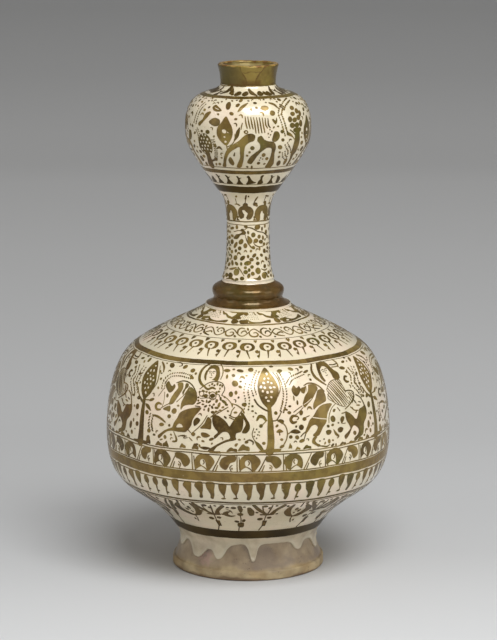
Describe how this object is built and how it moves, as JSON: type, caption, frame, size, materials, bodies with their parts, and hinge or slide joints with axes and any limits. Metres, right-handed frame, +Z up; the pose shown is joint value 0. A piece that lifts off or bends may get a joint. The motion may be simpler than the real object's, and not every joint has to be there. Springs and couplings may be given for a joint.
{
  "type": "bottle",
  "caption": "Tall glazed pottery bottle: round body on a turned foot, collared neck, pear-shaped bulb and short flared mouth, painted all over in brown lustre.",
  "frame": {"origin": "middle of the underside of the foot, on the surface that the bottle stands on", "axes": "+Z up along the bottle's axis; -Y is the side that the picture shows; +X is to the right seen from that side"},
  "size_m": [0.2134, 0.2134, 0.38],
  "materials": {
    "bare_body": "unglazed fired stonepaste, buff, rubbed smooth on the base moulding",
    "glaze": "glossy opaque cream glaze",
    "lustre": "brown to olive-gold metallic lustre painted on the glaze"
  },
  "bodies": {
    "root": {"foot_ring": "bare_body", "lower_body": "glaze", "upper_body": "glaze", "neck_collar": "glaze", "neck_tube": "glaze", "bulb_cup": "glaze", "bulb_cap": "glaze", "mouth_rim": "lustre", "glaze_edge": "glaze"}
  },
  "joints": []
}
